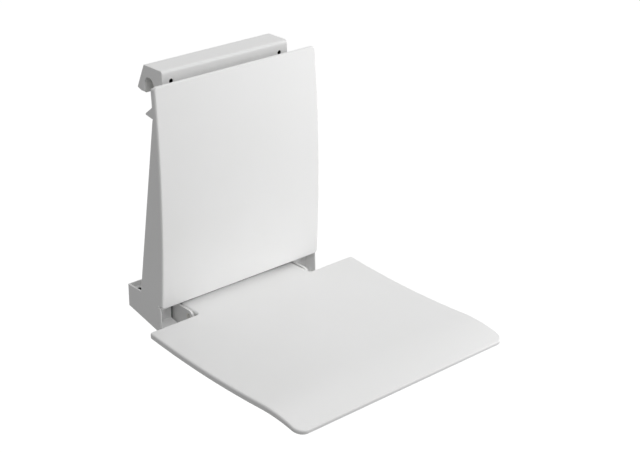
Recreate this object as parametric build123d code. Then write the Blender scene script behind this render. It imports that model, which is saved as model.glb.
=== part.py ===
"""Shower seat that hangs on a grab rail: a hook, a backrest, side brackets and a folding seat.

The origin is on the axis of the grab rail, in the middle of the hook.
+Z is up, the user sits facing -Y, and the wall is on the +Y side.  All sizes are in millimetres.
"""
import os
from build123d import *

# Clearances
press_gap = 0.05
slide_gap = 0.2
screw_gap = 0.1
stop_gap = 0.15
hinge_gap = 0.3

# Grab rail and the hook that hangs on it
rail_radius = 12.5
rail_clearance = 0.1
saddle_wall = 2.0
saddle_lip = 1.5
hook_length = 264.0
hook_wall = 3.0
hook_crown = 18.35
hook_top_rear = 13.5
hook_leg = 19.35
hook_heel = 10.5
hook_foot = 14.0
hook_nose_round = 5.0
hook_edge_round = 3.0
hook_foot_round = 1.0
cap_thickness = 3.0
cap_rail_clearance = 0.5
cap_plug_depth = 6.0
cap_edge_bevel = 0.8

# Uprights and cross beam
upright_width = 28.0
upright_depth = 16.0
upright_wall = 2.0
upright_inset = 1.0
beam_below_panel = 3.0
beam_depth = 30.0
beam_height = 50.0
beam_wall = 2.5
plug_length = 12.0

# Backrest panel
panel_width = 348.0
panel_top_width = 338.0
panel_height = 394.0
panel_top = 22.0
panel_front = 67.0
panel_bow = 8.0
panel_skirt = 10.0
panel_skin = 3.5
panel_rim = 4.0
panel_corner = 7.0
panel_edge_round = 3.0
panel_top_land = 3.5
panel_top_slope = 8.0
panel_rib = 2.5
panel_rib_inset = 1.0
panel_rib_pitch = 80.0
panel_boss_radius = 8.0
spacer_radius = 7.0
panel_fixing_top = 45.0
panel_fixing_rise = 47.0
catch_width = 8.0
catch_inset = 0.5
catch_reach = 19.5
catch_top = 11.0
catch_slope = 16.5
catch_tip = 2.5
catch_height = 22.5
catch_round = 1.0

# Side brackets
bracket_wall = 3.0
bracket_depth = 23.0
bracket_top = 34.5
bracket_top_depth = 0.9
bracket_lean = 0.164
bracket_rib = 2.5
bracket_rib_count = 3
bracket_gap = 0.15
foot_width = 28.0
foot_above_panel = 13.0
foot_rear = 33.5
foot_rear_height = 39.8
foot_slope = 0.212
foot_round = 1.5
foot_corner = 3.0
trough_depth = 9.0
guide_length = 43.0
guide_height = 29.0
lap_gap = 5.0
cheek_front = 62.0
cheek_drop = 0.4
cheek_round = 1.2
cheek_toe = 6.0

# Sliding wall buffers
plunger_radius = 8.0
plunger_clearance = 0.06
plunger_length = 42.0
plunger_slot_depth = 3.0
plunger_travel = 20.0
pad_radius = 10.0
pad_thickness = 6.0
pad_bevel = 1.0
pad_groove_inner = 5.0
pad_groove_outer = 7.5
pad_groove_depth = 1.0
pad_stud_radius = 3.0
pad_stud_length = 8.0
clamp_radius = 3.0
clamp_recess = 2.5
clamp_lead_in = 0.6
clamp_socket = 1.9
clamp_socket_depth = 3.0
clamp_from_rear = 15.5

# Hinge
plate_inset = 16.0
hinge_reach = 48.0
hinge_below_beam_top = 18.0
plate_thickness = 4.0
plate_end_radius = 12.0
bush_wall = 1.5
bush_flange = 1.9
bush_flange_radius = 9.0
shoulder_radius = 5.0
pivot_clearance = 0.05
pin_radius = 4.0
pin_tail = 5.0
pin_bevel = 0.6
clip_thickness = 1.2
clip_radius = 7.0
clip_groove = 0.8
clip_mouth = 3.2

# Seat panel
seat_width = 450.0
seat_depth = 381.0
seat_notch = 52.0
tongue_overlap = 32.0
seat_rise = 12.0
seat_skin = 3.5
seat_skirt = 10.8
seat_rim = 4.0
seat_flat = 30.0
ease_radius = 300.0
dish_radius = 1806.0
dip_angle = 5.4
rise_angle = 3.5
lip_drop = 17.5
lip_thinning = 0.7
seat_front_corner = 18.0
seat_rear_corner = 4.5
seat_notch_corner = 5.0
seat_edge_round = 3.0
seat_foot_round = 2.5
seat_rib = 2.5
seat_rib_depth = 3.0
seat_rib_pitch = 90.0
seat_boss_radius = 6.0

# Seat carrier under the seat panel
arm_thickness = 12.0
arm_top_drop = 6.0
arm_heel_drop = 8.0
arm_low = 22.0
arm_front_height = 9.0
arm_length = 318.0
arm_bend = 38.0
arm_bend_round = 20.0
arm_round = 3.0
arm_edge_round = 1.0
ear_radius = 7.3
rail_bar_width = 28.0
rail_bar_height = 8.0
rail_bar_drop = 0.5
rail_bar_round = 1.5
front_bar_from_tip = 10.0
rear_bar_from_hinge = 30.0
bar_screw_pitch = 14.0
seat_screw_first = 68.0
seat_screw_pitch = 97.5
seat_screw_count = 3
stop_thickness = 4.0
stop_height = 12.0
stop_inset = 1.0
stop_round = 1.0
stop_peg_radius = 2.5

# Screws
m6_shank = 3.0
m6_head = 5.25
m6_head_height = 3.3
m6_socket = 2.3
m5_shank = 2.5
m5_head = 4.75
m5_head_height = 2.75
m5_socket = 1.75
hook_screw_radius = 4.0
hook_screw_height = 13.5
hook_screw_recess = 1.2
hook_screw_length = 6.5
hook_screw_socket = 2.5
hook_screw_socket_depth = 4.0
hole_spare = 1.0
panel_screw_bite = 5.5
bracket_screw_length = 12.0
bracket_screw_pitch = 24.0
bar_screw_grip = 13.0
seat_screw_grip = 5.0
seat_screw_bite = 6.0

# Places worked out from the sizes above
saddle_bore = rail_radius + rail_clearance
throat = saddle_bore + saddle_wall + press_gap
hook_front = throat + 2 * hook_wall + upright_depth + 2 * slide_gap
hook_top = throat + hook_crown
hook_rear = throat + hook_leg
profile_half = hook_length / 2 - cap_thickness
chamber_front = -hook_front + hook_wall
chamber_rear = -throat - hook_wall
chamber_top = hook_top - 2 * hook_wall
upright_front = chamber_front + slide_gap
upright_rear = upright_front + upright_depth
upright_top = chamber_top - slide_gap
upright_x = profile_half - upright_inset - upright_width / 2
panel_half = panel_width / 2
panel_bottom = panel_top - panel_height
panel_middle = (panel_top + panel_bottom) / 2
panel_fixing_low = -panel_bottom - panel_fixing_rise
beam_top = panel_bottom - beam_below_panel
beam_bottom = beam_top - beam_height
beam_front = upright_front
beam_rear = beam_front + beam_depth
beam_half = panel_half - foot_width
hinge_y = beam_front - hinge_reach
hinge_z = beam_top - hinge_below_beam_top
plate_outer = beam_half - plate_inset
plate_inner = plate_outer - plate_thickness
arm_outer = plate_inner - bush_flange - hinge_gap
arm_inner = arm_outer - arm_thickness
arm_middle = arm_outer - arm_thickness / 2
tongue_half = arm_outer - hinge_gap
seat_top = hinge_z + seat_rise
tongue_rear = hinge_y + tongue_overlap
wing_rear = tongue_rear - seat_notch
seat_front = wing_rear - seat_depth
arm_top = hinge_z - arm_top_drop
arm_bottom = hinge_z - arm_low
arm_tip = hinge_y - arm_length
arm_bend_y = hinge_y - arm_bend
stop_z = (arm_bottom + stop_inset, arm_bottom + stop_inset + stop_height)
bush_outer = shoulder_radius + pivot_clearance + bush_wall
foot_rim = -panel_bottom - foot_above_panel
guide_rear = foot_rear - bracket_wall
guide_front = guide_rear - guide_length
guide_top = -foot_rim - trough_depth
guide_bottom = guide_top - guide_height
plunger_z = (guide_top + guide_bottom) / 2
plunger_x = panel_half - foot_width / 2
plunger_front = guide_front
plunger_rear = plunger_front + plunger_length
plunger_slot = 2 * (clamp_radius + slide_gap)
clamp_y = foot_rear - clamp_from_rear


def block(x_range, y_range, z_range):
    """Box between the given limits."""
    size = [high - low for low, high in (x_range, y_range, z_range)]
    middle = [(high + low) / 2 for low, high in (x_range, y_range, z_range)]
    return Pos(*middle) * Box(*size)


def along_x(face, x_low, x_high):
    """Side view (Y, Z) carried along X."""
    return Pos(x_low, 0, 0) * extrude(Plane.YZ * face, x_high - x_low, dir=(1, 0, 0))


def rod(axis, radius, start, end):
    """Cylinder along an axis, from one point to the other end's coordinate."""
    length = end - start["XYZ".index(axis)]
    direction = Vector(*[length if letter == axis else 0 for letter in "XYZ"])
    return Plane(origin=start, z_dir=direction) * extrude(Circle(radius), abs(length))


def outline(points, radii):
    """Closed outline with a rounding for each corner."""
    return make_face(FilletPolyline(*points, radius=radii, close=True))


def both_sides(solid):
    """A solid on the +X side and its mirror image."""
    return solid, mirror(solid, about=Plane.YZ)


def rim(solid, direction):
    """Edges between the faces that look in a direction and the walls beside them."""
    along = 0.7
    across = 0.3
    cosines = {face: face.normal_at().dot(Vector(*direction)) for face in solid.faces()}
    facing_edges = {edge for face in cosines if cosines[face] > along for edge in face.edges()}
    wall_edges = {edge for face in cosines if abs(cosines[face]) < across for edge in face.edges()}
    return ShapeList(edge for edge in solid.edges() if edge in facing_edges and edge in wall_edges)


def button_screw(shank, head, head_height, socket, length):
    """Button-head socket screw: the head stands on the XY plane, the shank goes down."""
    crown = chamfer(extrude(Circle(head), head_height).edges().group_by(Axis.Z)[-1], head_height / 2)
    key = Pos(0, 0, head_height / 3) * extrude(RegularPolygon(socket, 6), head_height)
    return crown - key + Pos(0, 0, -length) * extrude(Circle(shank), length)


def set_screw(radius, length, socket, socket_depth):
    """Headless socket screw: its socket opens at the XY plane, the screw goes down."""
    key = Pos(0, 0, -socket_depth) * extrude(RegularPolygon(socket, 6), socket_depth)
    return Pos(0, 0, -length) * extrude(Circle(radius), length) - key


def m6_screw(length):
    return button_screw(m6_shank, m6_head, m6_head_height, m6_socket, length)


def m5_screw(length):
    return button_screw(m5_shank, m5_head, m5_head_height, m5_socket, length)


def facing(direction, place):
    """Place and turn a screw so that its head looks in a direction."""
    return Plane(origin=place, z_dir=direction)


def save(name, *solids):
    """One node: one solid, or a group of like solids."""
    shape = solids[0] if len(solids) == 1 else Compound(children=list(solids))
    export_step(shape, os.path.join("parts", name + ".step"))


# Hook: a hollow extrusion with a chamber for the uprights and a throat for the lined rail
hook_outline = outline(
    [(-hook_front, -hook_foot), (-hook_front, hook_top), (hook_top_rear, hook_top),
     (hook_rear, -hook_heel), (hook_rear - hook_heel, -hook_foot)],
    [hook_foot_round, hook_nose_round, hook_edge_round, hook_edge_round, hook_foot_round])


def throat_face(radius, depth):
    """Round-topped slot that is open downwards."""
    return Circle(radius) + Pos(0, -depth / 2) * Rectangle(2 * radius, depth)


hook_depth = hook_foot + hook_crown
front_half = Pos(-throat - hook_front, 0) * Rectangle(2 * hook_front, 4 * hook_front)
hook_void = offset(hook_outline, -hook_wall, kind=Kind.INTERSECTION)
hook_void = hook_void - throat_face(throat + hook_wall, hook_depth) - front_half
chamber_height = chamber_top + hook_foot
chamber = Pos((chamber_front + chamber_rear) / 2, chamber_top - chamber_height / 2) * Rectangle(
    chamber_rear - chamber_front, chamber_height)
hook_section = hook_outline - throat_face(throat, hook_depth) - hook_void - chamber
hook_profile = along_x(hook_section, -profile_half, profile_half)
hook_screws = []
for side in (-1, 1):
    hole_start = (side * upright_x, -hook_front, hook_screw_height)
    hook_profile -= rod("Y", hook_screw_radius + screw_gap, hole_start, chamber_front)
    place = (side * upright_x, -hook_front + hook_screw_recess, hook_screw_height)
    screw = set_screw(hook_screw_radius, hook_screw_length, hook_screw_socket, hook_screw_socket_depth)
    hook_screws.append(facing((0, -1, 0), place) * screw)

# Caps that close the ends of the hook, each with a plug in the hollow above the throat
cap_face = hook_outline - throat_face(rail_radius + cap_rail_clearance, hook_depth)
cap_plug = offset(hook_void, -slide_gap, kind=Kind.INTERSECTION)
end_cap = along_x(cap_face, profile_half, profile_half + cap_thickness)
end_cap = chamfer(rim(end_cap, (1, 0, 0)), cap_edge_bevel)
end_cap += along_x(cap_plug, profile_half - cap_plug_depth, profile_half)
end_cap_right, end_cap_left = both_sides(end_cap)

# Saddle: a soft liner that spares the rail, with lips under the hook's lower edges
saddle_face = throat_face(throat - press_gap, hook_foot)
lip_span = 2 * (throat + hook_wall)
saddle_face += Pos(0, -hook_foot - saddle_lip / 2) * Rectangle(lip_span, saddle_lip)
saddle_face -= throat_face(saddle_bore, hook_depth)
rail_saddle = along_x(saddle_face, -profile_half, profile_half)

# Uprights: rectangular tubes from the cross beam up into the hook's chamber
upright_x_range = (upright_x - upright_width / 2, upright_x + upright_width / 2)
upright = block(upright_x_range, (upright_front, upright_rear), (beam_top, upright_top))
upright -= block(
    (upright_x_range[0] + upright_wall, upright_x_range[1] - upright_wall),
    (upright_front + upright_wall, upright_rear - upright_wall), (beam_top, upright_top))
hole_start = (upright_x, upright_front, hook_screw_height)
upright -= rod("Y", hook_screw_radius + screw_gap, hole_start, upright_front + upright_wall)
for drop in (panel_fixing_top, panel_fixing_low):
    upright -= rod("Y", m5_shank + screw_gap, (upright_x, upright_front, -drop), upright_rear)
upright_right, upright_left = both_sides(upright)

# Cross beam: a tube across the back of the seat, with a threaded plug in each end
cross_beam = block((-beam_half, beam_half), (beam_front, beam_rear), (beam_bottom, beam_top))
bore_y = (beam_front + beam_wall, beam_rear - beam_wall)
bore_z = (beam_bottom + beam_wall, beam_top - beam_wall)
cross_beam -= block((-beam_half, beam_half), bore_y, bore_z)
for side in (-1, 1):
    peg_place = (side * arm_middle, beam_front, sum(stop_z) / 2)
    cross_beam -= rod("Y", stop_peg_radius + press_gap, peg_place, beam_front + beam_wall)
beam_plug = block(
    (beam_half - plug_length, beam_half), (bore_y[0] + press_gap, bore_y[1] - press_gap),
    (bore_z[0] + press_gap, bore_z[1] - press_gap))
beam_middle_y = (beam_front + beam_rear) / 2
beam_middle_z = (beam_top + beam_bottom) / 2
bracket_screw_places = [
    (beam_half + bracket_wall, beam_middle_y, beam_middle_z + offset_z)
    for offset_z in (-bracket_screw_pitch / 2, bracket_screw_pitch / 2)]
for place in bracket_screw_places:
    beam_plug -= rod("X", m6_shank + screw_gap, place, beam_half - plug_length)
beam_plug_right, beam_plug_left = both_sides(beam_plug)


# Backrest panel: a bowed tray that narrows towards the top, with ribs, bosses for the spacers
# on the uprights and a catch over each side bracket
def panel_half_at(z):
    """Half the panel's width at a height."""
    return panel_half + (panel_top_width - panel_width) / 2 * (z - panel_bottom) / panel_height


def between_sides(inset):
    """Room between the panel's leaning sides, inset from them, right through."""
    low = 2 * panel_bottom
    high = panel_height
    half_low = panel_half_at(low) - inset
    half_high = panel_half_at(high) - inset
    face = make_face(Polyline(
        (-half_low, low), (half_low, low), (half_high, high), (-half_high, high), close=True))
    return extrude(Plane.XZ * face, 2 * panel_front, both=True)


def panel_layer(near, far):
    """Side view of the panel between two distances behind its front face."""
    def bowed(distance):
        y = distance - panel_front
        return ThreePointArc((y, panel_bottom), (y - panel_bow, panel_middle), (y, panel_top))
    front = bowed(near)
    rear = bowed(far)
    return make_face([front, Line(front @ 1, rear @ 1), rear, Line(rear @ 0, front @ 0)])


def panel_plan(inset):
    """Front view of the panel, inset from its edge, carried right through."""
    corner = max(panel_corner - inset, panel_rib)
    low = panel_bottom + inset
    high = panel_top - inset
    half_low = panel_half_at(low) - inset
    half_high = panel_half_at(high) - inset
    face = outline([(-half_low, low), (half_low, low), (half_high, high), (-half_high, high)], [corner] * 4)
    return extrude(Plane.XZ * face, 2 * panel_front)


def panel_rear_at(z):
    """Depth of the panel's rear edge at a height (the bow taken as a parabola)."""
    share = (z - panel_bottom) / panel_height
    return panel_skirt - panel_front - 4 * panel_bow * share * (1 - share)


panel = along_x(panel_layer(0, panel_skirt), -panel_width, panel_width) & between_sides(0)
panel = fillet(panel.edges().filter_by(Axis.Y), panel_corner)
panel = fillet(rim(panel, (0, -1, 0)), panel_edge_round)
top_front = panel_top_land - panel_front
top_rear = top_front + panel_skirt
top_slope = make_face(Polyline(
    (top_front, panel_top), (top_front, panel_height), (top_rear, panel_height),
    (top_rear, panel_top - panel_top_slope), close=True))
panel -= along_x(top_slope, -panel_width, panel_width)
tray = along_x(panel_layer(panel_skin, 2 * panel_skirt), -panel_half, panel_half) & panel_plan(panel_rim)
panel -= tray
rib_layer = along_x(panel_layer(panel_skin, panel_skirt - panel_rib_inset), -panel_half, panel_half)
rib_layer &= panel_plan(panel_rim)
rib_count_x = int(panel_width / panel_rib_pitch)
rib_count_z = int(panel_height / panel_rib_pitch)
rib_grid = Part() + [
    Pos((index - (rib_count_x - 1) / 2) * panel_rib_pitch, -panel_front, panel_middle)
    * Box(panel_rib, 4 * panel_skirt, panel_height) for index in range(rib_count_x)]
rib_grid += [
    Pos(0, -panel_front, panel_middle + (index - (rib_count_z - 1) / 2) * panel_rib_pitch)
    * Box(panel_width, 4 * panel_skirt, panel_rib) for index in range(rib_count_z)]
panel += rib_layer & rib_grid
panel_screws = []
spacers = []
for side in (-1, 1):
    for drop in (panel_fixing_top, panel_fixing_low):
        boss_rear = panel_rear_at(-drop)
        boss_root = boss_rear - panel_skirt + panel_skin / 2
        panel += rod("Y", panel_boss_radius, (side * upright_x, boss_root, -drop), boss_rear)
        boss_place = (side * upright_x, boss_rear, -drop)
        panel -= rod("Y", m5_shank + screw_gap, boss_place, boss_rear - panel_screw_bite - hole_spare)
        spacer = rod("Y", spacer_radius, boss_place, upright_front)
        spacers.append(spacer - rod("Y", m5_shank + screw_gap, boss_place, upright_front))
        screw = m5_screw(upright_rear - boss_rear + panel_screw_bite)
        panel_screws.append(facing((0, 1, 0), (side * upright_x, upright_rear, -drop)) * screw)
catch_root = panel_rear_at(-catch_top - catch_height / 2) - panel_rim / 2
catch_end = panel_rear_at(-catch_top - catch_height / 2) + catch_reach
catch_face = outline(
    [(catch_root, -catch_top), (catch_end, -catch_top - catch_slope),
     (catch_end, -catch_top - catch_slope - catch_tip), (catch_root, -catch_top - catch_height)],
    [0, catch_round, catch_round / 2, 0])
catch_outer = panel_half_at(-catch_top) - catch_inset
for solid in both_sides(along_x(catch_face, catch_outer - catch_width, catch_outer)):
    panel += solid

# Side bracket: a wedge-shaped tray behind the panel's edge, on a foot that reaches back to the wall,
# with a front wall that laps over the beam and a cheek that closes the side below the panel
wedge_foot = -foot_rim - 2 * trough_depth
wedge_top_y = panel_rear_at(-bracket_top) + bracket_gap
wedge_mid_z = (panel_bottom - bracket_top) / 2
wedge_front = ThreePointArc(
    (panel_rear_at(panel_bottom) + bracket_gap, panel_bottom),
    (panel_rear_at(wedge_mid_z) + bracket_gap, wedge_mid_z), (wedge_top_y, -bracket_top))
wedge_rear_y = wedge_top_y + bracket_top_depth
wedge_low_y = wedge_rear_y + bracket_lean * (foot_rim - bracket_top)
wedge_back = Polyline(
    wedge_front @ 1, (wedge_rear_y, -bracket_top), (wedge_low_y, -foot_rim), (wedge_low_y, wedge_foot),
    (panel_rear_at(panel_bottom) + bracket_gap, wedge_foot), wedge_front @ 0)
wedge_face = make_face([wedge_front, *wedge_back.edges()])
wedge_inside = (Pos(bracket_wall, 0) * wedge_face) & (Pos(-bracket_wall, 0) * wedge_face)
wedge_inner = panel_half - bracket_depth
bracket = along_x(wedge_face, wedge_inner, panel_width) & between_sides(0)
bracket -= along_x(wedge_inside, wedge_inner, panel_width) & between_sides(bracket_wall)
for index in range(bracket_rib_count):
    level = bracket_top + (foot_rim - bracket_top) * (index + 2) / (bracket_rib_count + 2)
    web = Pos(-panel_front, -level) * Rectangle(2 * panel_front, bracket_rib)
    rib = along_x(wedge_inside & web, wedge_inner + bracket_wall, panel_width)
    bracket += rib & between_sides(bracket_wall / 2)
lap_rear = beam_front - press_gap
lap_front = lap_rear - bracket_wall
lap_inner = plate_outer + lap_gap
foot_inner = beam_half + bracket_wall
foot_outer = panel_half - bracket_wall
floor_rear = -foot_rim - foot_rear_height


def foot_floor(y):
    """Height of the foot's sloping underside at a depth."""
    return floor_rear - foot_slope * (foot_rear - y)


def leaning(face):
    """Plan of the foot carried up and down along the leaning side."""
    lean = (panel_top_width - panel_width) / 2 / panel_height
    return Pos(0, 0, panel_bottom) * extrude(face, panel_height / 2, dir=(lean, 0, 1), both=True)


foot_side = outline(
    [(lap_front, -foot_rim), (foot_rear, -foot_rim), (foot_rear, floor_rear),
     (lap_front, foot_floor(lap_front))],
    [foot_round, foot_round, foot_corner, foot_round])
foot_plan = outline(
    [(lap_inner, foot_rear), (panel_half, foot_rear), (panel_half, lap_front), (lap_inner, lap_front)],
    [0, foot_corner, 0, 0])
foot = along_x(foot_side, beam_half, panel_width) & leaning(foot_plan)
foot -= block((foot_inner, foot_outer), (guide_front, guide_rear), (guide_top, 0))
foot -= block((foot_inner, foot_outer), (lap_rear, guide_front), (2 * panel_bottom, 0))
foot -= block((foot_inner, foot_outer), (guide_front, guide_rear), (2 * panel_bottom, guide_bottom))
foot += along_x(foot_side, lap_inner, foot_inner) & block(
    (lap_inner, foot_inner), (lap_front, lap_rear), (2 * panel_bottom, beam_top))
cheek_top = panel_bottom - cheek_drop
cheek_side = outline(
    [(-cheek_front, cheek_top), (lap_rear, cheek_top), (lap_rear, foot_floor(lap_rear)),
     (-cheek_front, foot_floor(-cheek_front))],
    [cheek_round, 0, 0, cheek_toe])
cheek_plan = outline(
    [(foot_outer, lap_rear), (panel_half, lap_rear), (panel_half, -cheek_front), (foot_outer, -cheek_front)],
    [0, 0, cheek_round, cheek_round])
bracket += foot
bracket += along_x(cheek_side, beam_half, panel_width) & leaning(cheek_plan)
bracket -= rod("Y", plunger_radius + plunger_clearance, (plunger_x, guide_front, plunger_z), foot_rear)
pad_seat = plunger_rear - slide_gap
bracket -= rod("Y", pad_radius + 2 * slide_gap, (plunger_x, pad_seat, plunger_z), foot_rear)
clamp_top = guide_top - clamp_recess
bracket -= rod("Z", clamp_radius + screw_gap, (plunger_x, clamp_y, clamp_top), plunger_z)
bracket -= rod("Z", clamp_radius + clamp_lead_in, (plunger_x, clamp_y, clamp_top), guide_top)
for place in bracket_screw_places:
    bracket -= rod("X", m6_shank + screw_gap, place, beam_half)
bracket_right, bracket_left = both_sides(bracket)
bracket_screws = []
for place in bracket_screw_places:
    bracket_screws.extend(both_sides(facing((1, 0, 0), place) * m6_screw(bracket_screw_length)))

# Wall buffer: a plunger that slides in the foot, a rubber pad on its end and a screw that clamps it
slot_floor = plunger_z + plunger_radius - plunger_slot_depth
plunger = rod("Y", plunger_radius, (plunger_x, plunger_front, plunger_z), plunger_rear)
slot_y = (clamp_y - plunger_slot / 2 - plunger_travel, clamp_y + plunger_slot / 2)
plunger -= block(
    (plunger_x - plunger_slot / 2, plunger_x + plunger_slot / 2), slot_y,
    (slot_floor, plunger_z + 2 * plunger_radius))
stud_place = (plunger_x, plunger_rear, plunger_z)
plunger -= rod("Y", pad_stud_radius + press_gap, stud_place, plunger_rear - pad_stud_length - press_gap)
pad_rear = plunger_rear + pad_thickness
pad = rod("Y", pad_radius, stud_place, pad_rear)
pad = chamfer(pad.edges().group_by(Axis.Y)[-1], pad_bevel)
pad += rod("Y", pad_stud_radius, stud_place, plunger_rear - pad_stud_length)
groove = Circle(pad_groove_outer) - Circle(pad_groove_inner)
pad -= Plane(origin=(plunger_x, pad_rear, plunger_z), z_dir=(0, -1, 0)) * extrude(groove, pad_groove_depth)
clamp_length = clamp_top - slot_floor - slide_gap
clamp_screw = set_screw(clamp_radius, clamp_length, clamp_socket, clamp_socket_depth)
clamp_screw = Pos(plunger_x, clamp_y, clamp_top) * clamp_screw
plunger_right, plunger_left = both_sides(plunger)
pad_right, pad_left = both_sides(pad)
clamp_right, clamp_left = both_sides(clamp_screw)

# Hinge plates on the front of the beam, with flanged bushes
plate_top = hinge_z + plate_end_radius
plate_face = make_face(Polyline(
    (beam_front, plate_top), (hinge_y, plate_top), (hinge_y, hinge_z - plate_end_radius),
    (beam_front, beam_bottom), close=True))
plate_face += Pos(hinge_y, hinge_z) * Circle(plate_end_radius)
plate_face -= Pos(hinge_y, hinge_z) * Circle(bush_outer + press_gap)
plate_right, plate_left = both_sides(along_x(plate_face, plate_inner, plate_outer))


def hinge_rod(radius, x_low, x_high):
    """Cylinder on the hinge axis."""
    return rod("X", radius, (x_low, hinge_y, hinge_z), x_high)


bush = hinge_rod(bush_outer, plate_inner, plate_outer)
bush += hinge_rod(bush_flange_radius, plate_inner - bush_flange, plate_inner)
bush -= hinge_rod(shoulder_radius + pivot_clearance, plate_inner - bush_flange, plate_outer)
bush_right, bush_left = both_sides(bush)

# Shouldered pins that ride in the arms, and the clips that hold them
clip_outer = arm_inner - slide_gap
clip_inner = clip_outer - clip_thickness
pin = hinge_rod(shoulder_radius, arm_outer, plate_outer)
pin = chamfer(pin.edges().group_by(Axis.X)[-1], pin_bevel)
pin += hinge_rod(pin_radius, arm_inner - pin_tail, arm_outer)
groove_x = (clip_inner - press_gap, clip_outer + press_gap)
pin -= hinge_rod(2 * pin_radius, *groove_x) - hinge_rod(pin_radius - clip_groove, *groove_x)
clip = hinge_rod(clip_radius, clip_inner, clip_outer)
clip -= hinge_rod(pin_radius - clip_groove + press_gap, clip_inner, clip_outer)
clip -= block(
    (clip_inner, clip_outer), (hinge_y - clip_mouth, hinge_y + clip_mouth),
    (hinge_z - 2 * clip_radius, hinge_z))
pin_right, pin_left = both_sides(pin)

# Stop pads on the beam, where the heels of the arms rest
stop_front = beam_front - stop_thickness
stop_pad = block((arm_inner, arm_outer), (stop_front, beam_front), stop_z)
stop_pad = fillet(rim(stop_pad, (0, -1, 0)), stop_round)
stop_pad += rod("Y", stop_peg_radius, (arm_middle, beam_front, sum(stop_z) / 2), beam_front + beam_wall)
stop_pad_right, stop_pad_left = both_sides(stop_pad)


# Seat panel: a dished tray with a tongue between the hinge plates and a front edge that rolls down
def seat_line(depth):
    """Side view of the seat's top, or of a line at a depth below it, from the tongue forwards."""
    level = seat_top - depth
    tongue = Line((tongue_rear, level), (tongue_rear - seat_flat, level))
    ease = JernArc(tongue @ 1, tongue % 1, ease_radius - depth, dip_angle)
    dish = JernArc(ease @ 1, ease % 1, dish_radius + depth, -dip_angle - rise_angle)
    lip_end = (seat_front, seat_top - lip_drop - lip_thinning * depth)
    return [tongue, ease, dish, TangentArc(dish @ 1, lip_end, tangent=dish % 1)]


def seat_layer(near, far):
    """The seat between two depths below its top, over its whole width."""
    upper = seat_line(near)
    lower = seat_line(far)
    front = Line(upper[-1] @ 1, lower[-1] @ 1)
    rear = Line(upper[0] @ 0, lower[0] @ 0)
    return along_x(make_face([*upper, *lower, front, rear]), -seat_width / 2, seat_width / 2)


def seat_plan(inset):
    """The seat's outline from above, inset from its edge, carried up and down."""
    half = seat_width / 2 - inset
    neck = tongue_half - inset
    half_points = [
        (neck, tongue_rear - inset), (neck, wing_rear - inset), (half, wing_rear - inset),
        (half, seat_front + inset)]
    points = half_points + [(-x, y) for x, y in reversed(half_points)]
    rear_corner = max(seat_rear_corner - inset, seat_rim / 4)
    half_radii = [seat_notch_corner, seat_notch_corner + inset, rear_corner, seat_front_corner - inset]
    face = outline(points, half_radii + half_radii[::-1])
    return Pos(0, 0, seat_top - 5 * seat_skirt) * extrude(face, 6 * seat_skirt)


def upright_edges(solid, y):
    """Upright corner edges of the seat at a depth."""
    return [edge for edge in solid.edges().filter_by(Axis.Z) if abs(edge.center().Y - y) < press_gap]


seat = seat_layer(0, seat_skirt)
notch_block = block(
    (tongue_half, seat_width), (wing_rear, tongue_rear + seat_notch), (beam_bottom, panel_bottom))
for solid in both_sides(notch_block):
    seat -= solid
seat = fillet(upright_edges(seat, seat_front), seat_front_corner)
wing_middle = (tongue_half + seat_width / 2) / 2
wing_corners = [edge for edge in upright_edges(seat, wing_rear) if abs(edge.center().X) > wing_middle]
seat = fillet(wing_corners, seat_rear_corner)
seat = fillet(upright_edges(seat, wing_rear), seat_notch_corner)
seat = fillet(upright_edges(seat, tongue_rear), seat_notch_corner)
seat = fillet(rim(seat, (0, 0, 1)), seat_edge_round)
seat = fillet(rim(seat, (0, 0, -1)), seat_foot_round)
seat -= seat_layer(seat_skin, 2 * seat_skirt) & seat_plan(seat_rim)
seat_length = tongue_rear - seat_front
seat_middle_y = (tongue_rear + seat_front) / 2
rib_count_x = int(seat_width / seat_rib_pitch)
rib_count_y = int(seat_length / seat_rib_pitch)
rib_grid = Part() + [
    Pos((index - (rib_count_x - 1) / 2) * seat_rib_pitch, seat_middle_y, seat_top)
    * Box(seat_rib, seat_length, 8 * seat_skirt) for index in range(rib_count_x)]
rib_grid += [
    Pos(0, seat_middle_y + (index - (rib_count_y - 1) / 2) * seat_rib_pitch, seat_top)
    * Box(seat_width, seat_rib, 8 * seat_skirt) for index in range(rib_count_y)]
seat += seat_layer(seat_skin, seat_skin + seat_rib_depth) & seat_plan(seat_rim) & rib_grid
seat_screw_stations = [
    hinge_y - seat_screw_first - index * seat_screw_pitch for index in range(seat_screw_count)]
seat_screw_places = [(side * arm_middle, y) for side in (-1, 1) for y in seat_screw_stations]
boss_layer = seat_layer(seat_skin / 2, 3 * seat_skirt)
for x, y in seat_screw_places:
    boss = rod("Z", seat_boss_radius, (x, y, arm_top), seat_top) & boss_layer
    seat += boss
    seat -= rod("Z", m5_shank + screw_gap, (x, y, arm_top), arm_top + seat_screw_bite)
notch_radius = ear_radius + 2 * hinge_gap
for solid in both_sides(hinge_rod(notch_radius, arm_inner - pin_tail - hinge_gap, plate_inner)):
    seat -= solid
notch_x = (arm_inner - pin_tail - hinge_gap, plate_inner)
notch_y = (hinge_y - notch_radius, hinge_y + notch_radius)
for solid in both_sides(block(notch_x, notch_y, (arm_bottom, hinge_z))):
    seat -= solid

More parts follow.
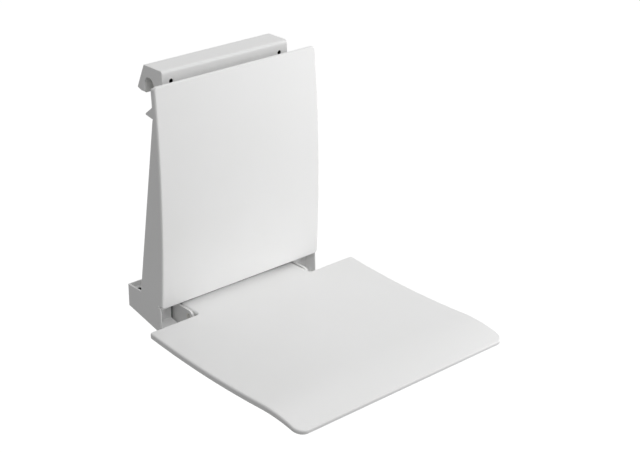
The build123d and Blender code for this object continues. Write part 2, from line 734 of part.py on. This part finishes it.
# Seat arms: cast levers with an ear for the pin, a heel on the stop pad and screws up into the seat
heel_rear = stop_front - stop_gap
arm_face = outline(
    [(heel_rear, hinge_z - arm_heel_drop), (heel_rear, arm_bottom), (arm_bend_y, arm_bottom),
     (arm_tip, arm_top - arm_front_height), (arm_tip, arm_top), (hinge_y - 2 * ear_radius, arm_top),
     (hinge_y, hinge_z - arm_heel_drop)],
    [arm_edge_round, arm_edge_round, arm_bend_round, arm_round, arm_edge_round, arm_round, arm_round])
arm_face += Pos(hinge_y, hinge_z) * Circle(ear_radius)
arm_face += Pos(hinge_y, hinge_z - arm_heel_drop / 2) * Rectangle(2 * ear_radius, arm_heel_drop + arm_round)
arm_face -= Pos(hinge_y, hinge_z) * Circle(pin_radius + press_gap)
arm = along_x(arm_face, arm_inner, arm_outer)
screw_seat_z = arm_top - seat_screw_grip
for y in seat_screw_stations:
    arm -= rod("Z", m5_shank + screw_gap, (arm_middle, y, screw_seat_z), arm_top)
    arm -= rod("Z", m5_head + slide_gap, (arm_middle, y, arm_bottom), screw_seat_z)
bar_z = (arm_top - rail_bar_drop - rail_bar_height, arm_top - rail_bar_drop)
front_bar_y = arm_tip + front_bar_from_tip + rail_bar_width / 2
rear_bar_y = hinge_y - rear_bar_from_hinge - rail_bar_width / 2
bar_screws = []
bars = []
for bar_y in (front_bar_y, rear_bar_y):
    bar_range = (bar_y - rail_bar_width / 2, bar_y + rail_bar_width / 2)
    bar = block((-arm_inner, arm_inner), bar_range, bar_z)
    bar = fillet(bar.edges().filter_by(Axis.X), rail_bar_round)
    for screw_y in (bar_y - bar_screw_pitch / 2, bar_y + bar_screw_pitch / 2):
        place = (arm_outer, screw_y, sum(bar_z) / 2)
        hole = rod("X", m5_shank + screw_gap, place, arm_inner - bar_screw_grip)
        arm -= hole
        for solid in both_sides(hole):
            bar -= solid
        screw = m5_screw(arm_thickness + bar_screw_grip - hole_spare)
        bar_screws.extend(both_sides(facing((1, 0, 0), place) * screw))
    bars.append(bar)
arm_right, arm_left = both_sides(arm)
seat_screws = [
    facing((0, 0, -1), (x, y, screw_seat_z)) * m5_screw(seat_screw_grip + seat_screw_bite - hole_spare)
    for x, y in seat_screw_places]

os.makedirs("parts", exist_ok=True)
save("hook_profile", hook_profile)
save("hook_end_cap_left", end_cap_left)
save("hook_end_cap_right", end_cap_right)
save("rail_saddle", rail_saddle)
save("hook_screws", *hook_screws)
save("upright_left", upright_left)
save("upright_right", upright_right)
save("cross_beam", cross_beam)
save("beam_plug_left", beam_plug_left)
save("beam_plug_right", beam_plug_right)
save("backrest_panel", panel)
save("backrest_spacers", *spacers)
save("backrest_screws", *panel_screws)
save("side_bracket_left", bracket_left)
save("side_bracket_right", bracket_right)
save("bracket_screws", *bracket_screws)
save("wall_plunger_left", plunger_left)
save("wall_plunger_right", plunger_right)
save("wall_pad_left", pad_left)
save("wall_pad_right", pad_right)
save("clamp_screw_left", clamp_left)
save("clamp_screw_right", clamp_right)
save("hinge_plate_left", plate_left)
save("hinge_plate_right", plate_right)
save("hinge_bush_left", bush_left)
save("hinge_bush_right", bush_right)
save("hinge_pin_left", pin_left)
save("hinge_pin_right", pin_right)
save("pin_clips", *both_sides(clip))
save("stop_pad_left", stop_pad_left)
save("stop_pad_right", stop_pad_right)
save("seat_panel", seat)
save("seat_arm_left", arm_left)
save("seat_arm_right", arm_right)
save("seat_front_bar", bars[0])
save("seat_rear_bar", bars[1])
save("bar_screws", *bar_screws)
save("seat_screws", *seat_screws)
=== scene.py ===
"""Shower seat that hooks over a grab rail, dressed for a product photograph on white."""
import math
import bmesh
import bpy
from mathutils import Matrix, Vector


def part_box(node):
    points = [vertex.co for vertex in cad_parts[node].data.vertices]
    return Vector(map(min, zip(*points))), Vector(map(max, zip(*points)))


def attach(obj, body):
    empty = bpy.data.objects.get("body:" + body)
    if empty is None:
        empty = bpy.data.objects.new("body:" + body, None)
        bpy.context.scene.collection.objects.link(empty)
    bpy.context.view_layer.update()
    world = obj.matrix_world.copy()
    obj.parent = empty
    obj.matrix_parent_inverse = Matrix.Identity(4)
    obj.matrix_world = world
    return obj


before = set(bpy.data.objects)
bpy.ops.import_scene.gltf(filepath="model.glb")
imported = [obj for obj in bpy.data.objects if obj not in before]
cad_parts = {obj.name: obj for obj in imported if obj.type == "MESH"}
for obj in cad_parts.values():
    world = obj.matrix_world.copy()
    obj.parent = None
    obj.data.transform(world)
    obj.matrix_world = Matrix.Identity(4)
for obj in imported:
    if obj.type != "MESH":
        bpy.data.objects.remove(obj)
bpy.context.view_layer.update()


# Cross beam
# Rectangular steel tube across the back of the seat, which everything else is fixed to.  It is
# sawn to length, drilled for the stop pads and powder coated; its mid grey, darker than the white frame, is
# painted shade for the deep gap under the backrest.
MM = 0.001


def linear(colour):
    """sRGB hex to linear RGBA."""
    parts = [int(colour[place:place + 2], 16) / 255 for place in (1, 3, 5)]
    return [part / 12.92 if part <= 0.04045 else ((part + 0.055) / 1.055) ** 2.4 for part in parts] + [1.0]


def add(tree, kind, settings, links=()):
    """One node with its settings, and its inputs linked to other nodes' outputs."""
    node = tree.nodes.new(kind)
    for name, value in settings.items():
        if isinstance(name, int) or name in node.inputs:
            node.inputs[name].default_value = value
        else:
            setattr(node, name, value)
    for socket, output in links:
        tree.links.new(output, node.inputs[socket])
    return node


def new_material(name):
    """Empty material, ready for a shader."""
    material = bpy.data.materials.new(name)
    material.use_nodes = True
    material.node_tree.nodes.clear()
    return material, material.node_tree


def dress(material, *names):
    """Give CAD nodes their finish."""
    for name in names:
        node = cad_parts[name]
        node.data.materials.clear()
        node.data.materials.append(material)


# Grey powder coat is dull and even, with a fine orange peel that breaks up what it reflects.  Its grey is
# painted shade: darker than the white frame so that the beam reads dark under the backrest.
# A real peel is about 0.5 mm across, drawn coarser here so that it shows.
shade_grey_coat, tree = new_material("grey_powder_coat_painted_shade")
peel_size, cloud_size = 1.4 * MM, 30 * MM
place = add(tree, "ShaderNodeTexCoord", {})
cloud = add(tree, "ShaderNodeTexNoise", {"Scale": 1 / cloud_size, "Detail": 3.0}, [
    ("Vector", place.outputs["Object"])])
peel = add(tree, "ShaderNodeTexNoise", {"Scale": 1 / peel_size, "Detail": 2.0}, [
    ("Vector", place.outputs["Object"])])
# Both greys are painted shade, darker than the frame's white.
tone = add(tree, "ShaderNodeMix", {"data_type": "RGBA", 6: linear("#8d8d8f"), 7: linear("#999a9b")}, [
    ("Factor", cloud.outputs["Fac"])])
gloss = add(tree, "ShaderNodeMapRange", {"To Min": 0.42, "To Max": 0.56}, [("Value", cloud.outputs["Fac"])])
ripple = add(tree, "ShaderNodeBump", {"Strength": 0.12, "Distance": 0.2 * MM}, [
    ("Height", peel.outputs["Fac"])])
coat = add(tree, "ShaderNodeBsdfPrincipled", {"IOR": 1.5}, [
    ("Base Color", tone.outputs[2]), ("Roughness", gloss.outputs["Result"]),
    ("Normal", ripple.outputs["Normal"])])
add(tree, "ShaderNodeOutputMaterial", {}, [("Surface", coat.outputs["BSDF"])])
dress(shade_grey_coat, "cross_beam")

# Plugs in the beam's ends
# Aluminium blocks sawn from bar and pressed into the tube, with tapped holes for the screws of the
# side brackets.

# Sawn and turned aluminium is bright grey with fine parallel cutter lines that spread its sheen.
# The lines are about 0.1 mm apart, drawn coarser here so that they show.
turned_aluminium, tree = new_material("turned_aluminium")
line_pitch, stain_size = 0.5 * MM, 14 * MM
place = add(tree, "ShaderNodeTexCoord", {})
stretch = add(tree, "ShaderNodeMapping", {"Scale": (0.04, 1.0, 0.04)}, [("Vector", place.outputs["Object"])])
lines = add(tree, "ShaderNodeTexNoise", {"Scale": 1 / line_pitch, "Detail": 3.0}, [
    ("Vector", stretch.outputs["Vector"])])
stain = add(tree, "ShaderNodeTexNoise", {"Scale": 1 / stain_size, "Detail": 4.0}, [
    ("Vector", place.outputs["Object"])])
tone = add(tree, "ShaderNodeMix", {"data_type": "RGBA", 6: linear("#bfc0c3"), 7: linear("#d6d6d8")}, [
    ("Factor", stain.outputs["Fac"])])
gloss = add(tree, "ShaderNodeMapRange", {"To Min": 0.3, "To Max": 0.42}, [("Value", lines.outputs["Fac"])])
cut = add(tree, "ShaderNodeBump", {"Strength": 0.15, "Distance": 0.1 * MM}, [
    ("Height", lines.outputs["Fac"])])
metal = add(tree, "ShaderNodeBsdfPrincipled", {"Metallic": 1.0}, [
    ("Base Color", tone.outputs[2]), ("Roughness", gloss.outputs["Result"]),
    ("Normal", cut.outputs["Normal"])])
add(tree, "ShaderNodeOutputMaterial", {}, [("Surface", metal.outputs["BSDF"])])
dress(turned_aluminium, "beam_plug_left", "beam_plug_right")

# Uprights
# Two rectangular tubes that stand on the beam and slide up into the hook profile, sawn, drilled
# and powder coated white.

# White powder coat is an even satin white with a faint orange peel, drawn coarser than it is.
white_coat, tree = new_material("white_powder_coated_metal")
peel_size, cloud_size = 1.6 * MM, 45 * MM
place = add(tree, "ShaderNodeTexCoord", {})
cloud = add(tree, "ShaderNodeTexNoise", {"Scale": 1 / cloud_size, "Detail": 3.0}, [
    ("Vector", place.outputs["Object"])])
peel = add(tree, "ShaderNodeTexNoise", {"Scale": 1 / peel_size, "Detail": 2.0}, [
    ("Vector", place.outputs["Object"])])
tone = add(tree, "ShaderNodeMix", {"data_type": "RGBA", 6: linear("#ececec"), 7: linear("#f1f1f0")}, [
    ("Factor", cloud.outputs["Fac"])])
gloss = add(tree, "ShaderNodeMapRange", {"To Min": 0.3, "To Max": 0.38}, [("Value", cloud.outputs["Fac"])])
ripple = add(tree, "ShaderNodeBump", {"Strength": 0.06, "Distance": 0.2 * MM}, [
    ("Height", peel.outputs["Fac"])])
coat = add(tree, "ShaderNodeBsdfPrincipled", {"IOR": 1.5}, [
    ("Base Color", tone.outputs[2]), ("Roughness", gloss.outputs["Result"]),
    ("Normal", ripple.outputs["Normal"])])
add(tree, "ShaderNodeOutputMaterial", {}, [("Surface", coat.outputs["BSDF"])])
dress(white_coat, "upright_left", "upright_right")

# Welds
# Fillet welds round the foot of each upright and along both sides of each hinge plate, laid in
# small overlapping ripples and coated with the beam, in its grey of painted shade.
weld_leg, weld_ripple, weld_sink = 2.2 * MM, 2.4 * MM, 0.15 * MM
weld_arc_steps, weld_ring_steps = 6, 6
ripple_depth, crown_dip, bead_tip = 0.15, 0.15, 0.3
crease = math.radians(35)
ALONG_X, ALONG_Y, ALONG_Z = Vector((1, 0, 0)), Vector((0, 1, 0)), Vector((0, 0, 1))


def loft(mesh, rings, round_trip=False):
    """Faces from ring to ring of points, back to the first ring or closed at both ends."""
    rings = [[mesh.verts.new(point) for point in ring] for ring in rings]
    for number in range(0 if round_trip else 1, len(rings)):
        before, ring = rings[number - 1], rings[number]
        for index, vertex in enumerate(ring):
            mesh.faces.new((before[index - 1], before[index], vertex, ring[index - 1]))
    if not round_trip:
        mesh.faces.new(rings[0])
        mesh.faces.new(list(reversed(rings[-1])))


def fix_to_frame(name, mesh, material):
    """Turn a mesh into a piece that rides on the frame."""
    bmesh.ops.recalc_face_normals(mesh, faces=mesh.faces)
    data = bpy.data.meshes.new(name)
    mesh.to_mesh(data)
    mesh.free()
    data.shade_smooth()
    data.set_sharp_from_angle(angle=crease)
    data.materials.append(material)
    piece = bpy.data.objects.new(name, data)
    bpy.context.scene.collection.objects.link(piece)
    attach(piece, "frame")


def bead_rings(start, end, leg_a, leg_b):
    """Rings of a rippled bead in a corner from start to end, with its legs along two faces."""
    length = (end - start).length
    steps = math.ceil(length / weld_ripple) * weld_ring_steps
    for step in range(steps + 1):
        share = step / steps
        swell = 1 - ripple_depth + ripple_depth * abs(math.sin(math.pi * share * length / weld_ripple))
        fade = min(1.0, share * length / weld_leg, (1 - share) * length / weld_leg)
        size = weld_leg * swell * (bead_tip + (1 - bead_tip) * math.sqrt(fade))
        corner = start.lerp(end, share) - (leg_a + leg_b) * weld_sink
        ring = [corner]
        for turn in range(weld_arc_steps + 1):
            angle = turn / weld_arc_steps * math.pi / 2
            crown = 1 - crown_dip + crown_dip * abs(math.cos(2 * angle))
            ring.append(corner + (leg_a * math.cos(angle) + leg_b * math.sin(angle)) * size * crown)
        yield ring


def weld(name, corners):
    """One weld of several beads."""
    mesh = bmesh.new()
    for corner in corners:
        loft(mesh, bead_rings(*corner))
    fix_to_frame(name, mesh, shade_grey_coat)


beam_low, beam_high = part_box("cross_beam")
for side in ("left", "right"):
    low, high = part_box("upright_" + side)
    deck = beam_high.z
    weld("upright_weld_" + side, [
        (Vector((low.x, high.y, deck)), Vector((high.x, high.y, deck)), ALONG_Y, ALONG_Z),
        (Vector((low.x, low.y + weld_leg, deck)), Vector((low.x, high.y, deck)), -ALONG_X, ALONG_Z),
        (Vector((high.x, low.y + weld_leg, deck)), Vector((high.x, high.y, deck)), ALONG_X, ALONG_Z)])
    low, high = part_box("hinge_plate_" + side)
    face = beam_low.y
    weld("hinge_weld_" + side, [
        (Vector((low.x, face, beam_low.z)), Vector((low.x, face, high.z)), -ALONG_X, -ALONG_Y),
        (Vector((high.x, face, beam_low.z)), Vector((high.x, face, high.z)), ALONG_X, -ALONG_Y)])

# Hook profile
# Hollow aluminium extrusion that hangs over the grab rail, cut to length, drilled for the two
# set screws and powder coated white like the uprights.
dress(white_coat, "hook_profile")

# Rail saddle
# Soft liner of extruded white elastomer, pushed into the hook so that the rail isn't scratched.

# The elastomer is matt and slightly powdery, with faint lines along the extrusion, drawn coarser than
# they are.
soft_liner, tree = new_material("extruded_white_elastomer")
line_pitch, bloom_size = 0.8 * MM, 18 * MM
place = add(tree, "ShaderNodeTexCoord", {})
stretch = add(tree, "ShaderNodeMapping", {"Scale": (0.03, 1.0, 1.0)}, [("Vector", place.outputs["Object"])])
lines = add(tree, "ShaderNodeTexNoise", {"Scale": 1 / line_pitch, "Detail": 2.0}, [
    ("Vector", stretch.outputs["Vector"])])
bloom = add(tree, "ShaderNodeTexNoise", {"Scale": 1 / bloom_size, "Detail": 4.0}, [
    ("Vector", place.outputs["Object"])])
tone = add(tree, "ShaderNodeMix", {"data_type": "RGBA", 6: linear("#efefed"), 7: linear("#f5f5f3")}, [
    ("Factor", bloom.outputs["Fac"])])
gloss = add(tree, "ShaderNodeMapRange", {"To Min": 0.62, "To Max": 0.8}, [("Value", bloom.outputs["Fac"])])
drawn = add(tree, "ShaderNodeBump", {"Strength": 0.1, "Distance": 0.1 * MM}, [
    ("Height", lines.outputs["Fac"])])
rubber = add(tree, "ShaderNodeBsdfPrincipled", {"IOR": 1.5}, [
    ("Base Color", tone.outputs[2]), ("Roughness", gloss.outputs["Result"]),
    ("Normal", drawn.outputs["Normal"])])
add(tree, "ShaderNodeOutputMaterial", {}, [("Surface", rubber.outputs["BSDF"])])
dress(soft_liner, "rail_saddle")

# Hook end caps
# Injection mouldings in white ABS that close the ends of the profile, plugged into its hollow.

# Moulded ABS with a very fine spark grain looks smooth and even from a step away, with a soft
# satin sheen along rounded edges.  The grain is about 0.1 mm across, drawn ten times coarser so that
# it still breaks up the sheen.
moulded_abs, tree = new_material("moulded_white_abs")
flow_size, grain_size = 120 * MM, 1.1 * MM
place = add(tree, "ShaderNodeTexCoord", {})
flow = add(tree, "ShaderNodeTexNoise", {"Scale": 1 / flow_size, "Detail": 4.0}, [
    ("Vector", place.outputs["Object"])])
grain = add(tree, "ShaderNodeTexNoise", {"Scale": 1 / grain_size, "Detail": 3.0}, [
    ("Vector", place.outputs["Object"])])
tone = add(tree, "ShaderNodeMix", {"data_type": "RGBA", 6: linear("#efefee"), 7: linear("#f3f3f3")}, [
    ("Factor", flow.outputs["Fac"])])
gloss = add(tree, "ShaderNodeMapRange", {"To Min": 0.36, "To Max": 0.46}, [("Value", flow.outputs["Fac"])])
tooth = add(tree, "ShaderNodeBump", {"Strength": 0.04, "Distance": 0.1 * MM}, [
    ("Height", grain.outputs["Fac"])])
skin = add(tree, "ShaderNodeBsdfPrincipled", {"IOR": 1.53}, [
    ("Base Color", tone.outputs[2]), ("Roughness", gloss.outputs["Result"]),
    ("Normal", tooth.outputs["Normal"])])
add(tree, "ShaderNodeOutputMaterial", {}, [("Surface", skin.outputs["BSDF"])])
dress(moulded_abs, "hook_end_cap_left", "hook_end_cap_right")

# Hook screws
# Two headless socket screws that go through the front of the hook into the uprights.

# Blackened steel is a dark, dry metal with a dull glint on its edges.  The marks of the tool are finer
# than 0.1 mm, drawn coarser here so that they show.
blackened_steel, tree = new_material("blackened_steel")
mark_size, oil_size = 0.4 * MM, 3 * MM
place = add(tree, "ShaderNodeTexCoord", {})
marks = add(tree, "ShaderNodeTexNoise", {"Scale": 1 / mark_size, "Detail": 2.0}, [
    ("Vector", place.outputs["Object"])])
oil = add(tree, "ShaderNodeTexNoise", {"Scale": 1 / oil_size, "Detail": 3.0}, [
    ("Vector", place.outputs["Object"])])
tone = add(tree, "ShaderNodeMix", {"data_type": "RGBA", 6: linear("#1b1b1c"), 7: linear("#2b2b2c")}, [
    ("Factor", oil.outputs["Fac"])])
gloss = add(tree, "ShaderNodeMapRange", {"To Min": 0.4, "To Max": 0.58}, [("Value", oil.outputs["Fac"])])
cut = add(tree, "ShaderNodeBump", {"Strength": 0.1, "Distance": 0.05 * MM}, [
    ("Height", marks.outputs["Fac"])])
metal = add(tree, "ShaderNodeBsdfPrincipled", {"Metallic": 1.0}, [
    ("Base Color", tone.outputs[2]), ("Roughness", gloss.outputs["Result"]),
    ("Normal", cut.outputs["Normal"])])
add(tree, "ShaderNodeOutputMaterial", {}, [("Surface", metal.outputs["BSDF"])])
dress(blackened_steel, "hook_screws")

# Side brackets
# White ABS mouldings, open at the back and below, that carry the panel's edges and reach back to
# the wall.  Each is held on the end of the beam by two socket screws.
dress(moulded_abs, "side_bracket_left", "side_bracket_right")

# Toe webs
# Thin floors moulded into the front of each foot, which close the hollow between its cheek and its
# front wall from below.  Their front edge is rounded and draws back from the cheek inwards.
web_thickness, web_slope, web_sink = 2.6 * MM, 0.212, 0.6 * MM
web_front, web_draw, web_rise = 4 * MM, 7 * MM, 2.0 * MM
cheek_wall, web_columns, web_nose_steps = 3 * MM, 12, 8
for side, outwards in (("left", -1), ("right", 1)):
    low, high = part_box("side_bracket_" + side)
    cheek_x, inner_x = sorted((low.x, high.x), key=abs, reverse=True)
    cheek_x -= outwards * (cheek_wall - web_sink)
    rear_y = beam_low.y - web_sink
    rear_z = low.z + web_rise + web_slope * (rear_y - low.y)
    rings = []
    for column in range(web_columns + 1):
        share = column / web_columns
        x = cheek_x + (inner_x - cheek_x) * share
        nose_y = low.y + web_front + web_draw * share ** 2 + web_thickness / 2
        ring = [Vector((x, rear_y, rear_z)), Vector((x, rear_y, rear_z - web_thickness))]
        for step in range(web_nose_steps + 1):
            angle = math.pi * (step / web_nose_steps - 0.5)
            y = nose_y - math.cos(angle) * web_thickness / 2
            z = rear_z - web_slope * (rear_y - y) + (math.sin(angle) - 1) * web_thickness / 2
            ring.append(Vector((x, y, z)))
        rings.append(ring)
    mesh = bmesh.new()
    loft(mesh, rings)
    fix_to_frame("toe_web_" + side, mesh, moulded_abs)

# Bracket screws
# Button-head socket screws in plain stainless steel, two on each side, through the brackets into the
# plugs of the beam.

# Stainless is a mid-grey metal with fine marks from the lathe and small differences in polish.  The
# marks are finer than 0.1 mm, drawn coarser here so that they show.
stainless, tree = new_material("turned_stainless_steel")
mark_size, polish_size = 0.35 * MM, 5 * MM
place = add(tree, "ShaderNodeTexCoord", {})
marks = add(tree, "ShaderNodeTexNoise", {"Scale": 1 / mark_size, "Detail": 2.0}, [
    ("Vector", place.outputs["Object"])])
polish = add(tree, "ShaderNodeTexNoise", {"Scale": 1 / polish_size, "Detail": 3.0}, [
    ("Vector", place.outputs["Object"])])
tone = add(tree, "ShaderNodeMix", {"data_type": "RGBA", 6: linear("#b4b3b0"), 7: linear("#c8c7c4")}, [
    ("Factor", polish.outputs["Fac"])])
gloss = add(tree, "ShaderNodeMapRange", {"To Min": 0.29, "To Max": 0.4}, [("Value", polish.outputs["Fac"])])
cut = add(tree, "ShaderNodeBump", {"Strength": 0.08, "Distance": 0.05 * MM}, [
    ("Height", marks.outputs["Fac"])])
metal = add(tree, "ShaderNodeBsdfPrincipled", {"Metallic": 1.0}, [
    ("Base Color", tone.outputs[2]), ("Roughness", gloss.outputs["Result"]),
    ("Normal", cut.outputs["Normal"])])
add(tree, "ShaderNodeOutputMaterial", {}, [("Surface", metal.outputs["BSDF"])])
dress(stainless, "bracket_screws")

# Wall plungers
# Turned acetal rods that slide in the brackets' feet, with a milled slot for the clamp screw.

# Natural acetal is a waxy off-white with faint rings from the lathe, drawn coarser than they are.
acetal, tree = new_material("turned_natural_acetal")
ring_pitch, haze_size = 0.6 * MM, 12 * MM
place = add(tree, "ShaderNodeTexCoord", {})
stretch = add(tree, "ShaderNodeMapping", {"Scale": (0.05, 1.0, 0.05)}, [("Vector", place.outputs["Object"])])
lathe = add(tree, "ShaderNodeTexNoise", {"Scale": 1 / ring_pitch, "Detail": 2.0}, [
    ("Vector", stretch.outputs["Vector"])])
haze = add(tree, "ShaderNodeTexNoise", {"Scale": 1 / haze_size, "Detail": 3.0}, [
    ("Vector", place.outputs["Object"])])
tone = add(tree, "ShaderNodeMix", {"data_type": "RGBA", 6: linear("#e2e0d8"), 7: linear("#ebe9e2")}, [
    ("Factor", haze.outputs["Fac"])])
gloss = add(tree, "ShaderNodeMapRange", {"To Min": 0.3, "To Max": 0.44}, [("Value", lathe.outputs["Fac"])])
cut = add(tree, "ShaderNodeBump", {"Strength": 0.08, "Distance": 0.1 * MM}, [
    ("Height", lathe.outputs["Fac"])])
wax = add(tree, "ShaderNodeBsdfPrincipled", {"IOR": 1.48}, [
    ("Base Color", tone.outputs[2]), ("Roughness", gloss.outputs["Result"]),
    ("Normal", cut.outputs["Normal"])])
add(tree, "ShaderNodeOutputMaterial", {}, [("Surface", wax.outputs["BSDF"])])
dress(acetal, "wall_plunger_left", "wall_plunger_right")

# Wall pads
# Grey rubber feet with a ring groove, pressed into the ends of the plungers.

# Moulded rubber is dull, with a fine pebbled texture and a slight bloom.  The texture is about 0.2 mm
# across, drawn coarser here so that it shows.
grey_rubber, tree = new_material("moulded_grey_rubber")
pebble_size, bloom_size = 0.7 * MM, 9 * MM
place = add(tree, "ShaderNodeTexCoord", {})
pebble = add(tree, "ShaderNodeTexNoise", {"Scale": 1 / pebble_size, "Detail": 3.0}, [
    ("Vector", place.outputs["Object"])])
bloom = add(tree, "ShaderNodeTexNoise", {"Scale": 1 / bloom_size, "Detail": 4.0}, [
    ("Vector", place.outputs["Object"])])
tone = add(tree, "ShaderNodeMix", {"data_type": "RGBA", 6: linear("#6a6a6c"), 7: linear("#7a7a7b")}, [
    ("Factor", bloom.outputs["Fac"])])
gloss = add(tree, "ShaderNodeMapRange", {"To Min": 0.7, "To Max": 0.88}, [("Value", bloom.outputs["Fac"])])
tooth = add(tree, "ShaderNodeBump", {"Strength": 0.2, "Distance": 0.1 * MM}, [
    ("Height", pebble.outputs["Fac"])])
rubber = add(tree, "ShaderNodeBsdfPrincipled", {"IOR": 1.52}, [
    ("Base Color", tone.outputs[2]), ("Roughness", gloss.outputs["Result"]),
    ("Normal", tooth.outputs["Normal"])])
add(tree, "ShaderNodeOutputMaterial", {}, [("Surface", rubber.outputs["BSDF"])])
dress(grey_rubber, "wall_pad_left", "wall_pad_right")

# Clamp screws
# Headless screws in the open tops of the feet that hold the plungers where they are set.  They run
# in flanged inserts with a thread, pressed into the plastic, and both are blackened.
dress(blackened_steel, "clamp_screw_left", "clamp_screw_right")
insert_bore, insert_sleeve, insert_flange = 3.1 * MM, 3.5 * MM, 4.5 * MM
screw_recess, flange_thickness, flange_edge = 2.5 * MM, 0.8 * MM, 0.25 * MM
thread_pitch, thread_depth, thread_turns = 0.8 * MM, 0.25 * MM, 3
insert_steps = 48
for side in ("left", "right"):
    low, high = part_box("clamp_screw_" + side)
    middle = (low + high) / 2
    floor_top = high.z + screw_recess
    flange_top = floor_top + flange_thickness
    profile = [(insert_sleeve, floor_top), (insert_flange, floor_top),
               (insert_flange, flange_top - flange_edge), (insert_flange - flange_edge, flange_top),
               (insert_bore + flange_edge, flange_top)]
    for turn in range(thread_turns):
        crest = flange_top - flange_edge - turn * thread_pitch
        profile += [(insert_bore, crest), (insert_bore + thread_depth, crest - thread_pitch / 2)]
    last = profile[-1][1] - thread_pitch / 2
    profile += [(insert_bore, last), (insert_sleeve, last)]
    rings = []
    for step in range(insert_steps):
        angle = 2 * math.pi * step / insert_steps
        outwards = Vector((math.cos(angle), math.sin(angle), 0.0))
        rings.append([Vector((middle.x, middle.y, z)) + outwards * radius for radius, z in profile])
    mesh = bmesh.new()
    loft(mesh, rings, round_trip=True)
    fix_to_frame("clamp_insert_" + side, mesh, blackened_steel)

# Backrest
# Turned spacers on the uprights, the bowed panel in white ABS in front of them, and long stainless
# screws through both from the rear.
dress(turned_aluminium, "backrest_spacers")
dress(moulded_abs, "backrest_panel")
dress(stainless, "backrest_screws")

# Hinge
# Plates cut from sheet and welded to the front of the beam, with pressed-in acetal bushes.  The
# shouldered stainless pins are held in the seat's arms by clips.
dress(white_coat, "hinge_plate_left", "hinge_plate_right")
dress(acetal, "hinge_bush_left", "hinge_bush_right")
dress(stainless, "hinge_pin_left", "hinge_pin_right", "pin_clips")

# Stop pads
# Acetal pads pegged into the front of the beam, where the heels of the arms come to rest.
dress(acetal, "stop_pad_left", "stop_pad_right")

# Seat carrier
# Two cast arms and two flat bars between them, coated white, with stainless screws from the sides.
dress(white_coat, "seat_arm_left", "seat_arm_right", "seat_front_bar", "seat_rear_bar")
dress(stainless, "bar_screws")

# Seat panel
# One white ABS moulding, dished for the sitter, ribbed underneath and screwed down on the arms
# from below.
dress(moulded_abs, "seat_panel")
dress(stainless, "seat_screws")

# Studio
# Pale floor at the height of a bathroom floor under the seat, a wide soft main light low on the
# right, weaker ones high in front and overhead, and even white surroundings.
floor_drop, floor_size, floor_glow, room_light = 0.46, 24, 0.93, 0.366


def seen_directly(tree):
    """1 where the camera, a gloss or a clear piece looks at the surroundings, 0 where they only light."""
    ray = add(tree, "ShaderNodeLightPath", {})
    shown = add(tree, "ShaderNodeMath", {"operation": "MAXIMUM"}, [
        (0, ray.outputs["Is Camera Ray"]), (1, ray.outputs["Is Glossy Ray"])])
    shown = add(tree, "ShaderNodeMath", {"operation": "MAXIMUM"}, [
        (0, shown.outputs["Value"]), (1, ray.outputs["Is Transmission Ray"])])
    return shown.outputs["Value"]


floor_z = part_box("seat_panel")[0].z - floor_drop
bpy.ops.mesh.primitive_plane_add(size=floor_size, location=(0, 0, floor_z))
floor = bpy.context.object
floor.name = "studio_floor"
floor_paint, tree = new_material("pale_studio_floor")
level = add(tree, "ShaderNodeMath", {"operation": "MULTIPLY", 1: floor_glow}, [(0, seen_directly(tree))])
matt = add(tree, "ShaderNodeBsdfDiffuse", {"Color": linear("#808080")})
lift = add(tree, "ShaderNodeEmission", {}, [("Strength", level.outputs["Value"])])
both = add(tree, "ShaderNodeAddShader", {}, [(0, matt.outputs["BSDF"]), (1, lift.outputs["Emission"])])
add(tree, "ShaderNodeOutputMaterial", {}, [("Surface", both.outputs["Shader"])])
floor.data.materials.append(floor_paint)

world = bpy.data.worlds.new("white_room")
bpy.context.scene.world = world
world.use_nodes = True
tree = world.node_tree
tree.nodes.clear()
level = add(tree, "ShaderNodeMapRange", {"To Min": room_light, "To Max": 1.0}, [
    ("Value", seen_directly(tree))])
room = add(tree, "ShaderNodeBackground", {"Color": (1, 1, 1, 1)}, [("Strength", level.outputs["Result"])])
add(tree, "ShaderNodeOutputWorld", {}, [("Surface", room.outputs["Background"])])

# Each light stands some metres from the aim in its direction, with a width in metres and a power in watts.
aim = Vector((0.0, -0.2, -0.25))
for name, direction, distance, width, power in (
        ("side_softbox", (0.85, -0.5, 0.15), 1.6, 1.4, 20.0),
        ("front_softbox", (-0.3, -0.6, 0.8), 1.6, 0.9, 5.8),
        ("overhead_softbox", (0.2, 0.3, 1.0), 1.4, 1.0, 2.4)):
    light = bpy.data.lights.new(name, "AREA")
    light.size = width
    light.energy = power
    towards = Vector(direction).normalized()
    lamp = bpy.data.objects.new(name, light)
    lamp.location = aim + towards * distance
    lamp.rotation_euler = towards.to_track_quat("Z", "Y").to_euler()
    bpy.context.scene.collection.objects.link(lamp)

# Camera
# A long lens at the photograph's angle, level, to the front left of the seat and above it.
azimuth, elevation, distance = math.radians(-41.26), math.radians(24.28), 2.634
target = Vector((0.1276, -0.12695, -0.28604))
sensor_width, focal_length = 36, 84.41
level_back = Vector((math.sin(azimuth), -math.cos(azimuth), 0.0))
back = level_back * math.cos(elevation) + ALONG_Z * math.sin(elevation)
lens = bpy.data.cameras.new("product_camera")
lens.sensor_width = sensor_width
lens.lens = focal_length
camera = bpy.data.objects.new("product_camera", lens)
camera.location = target + back * distance
camera.rotation_euler = back.to_track_quat("Z", "Y").to_euler()
bpy.context.scene.collection.objects.link(camera)
bpy.context.scene.camera = camera
bpy.context.scene.view_settings.view_transform = "Standard"
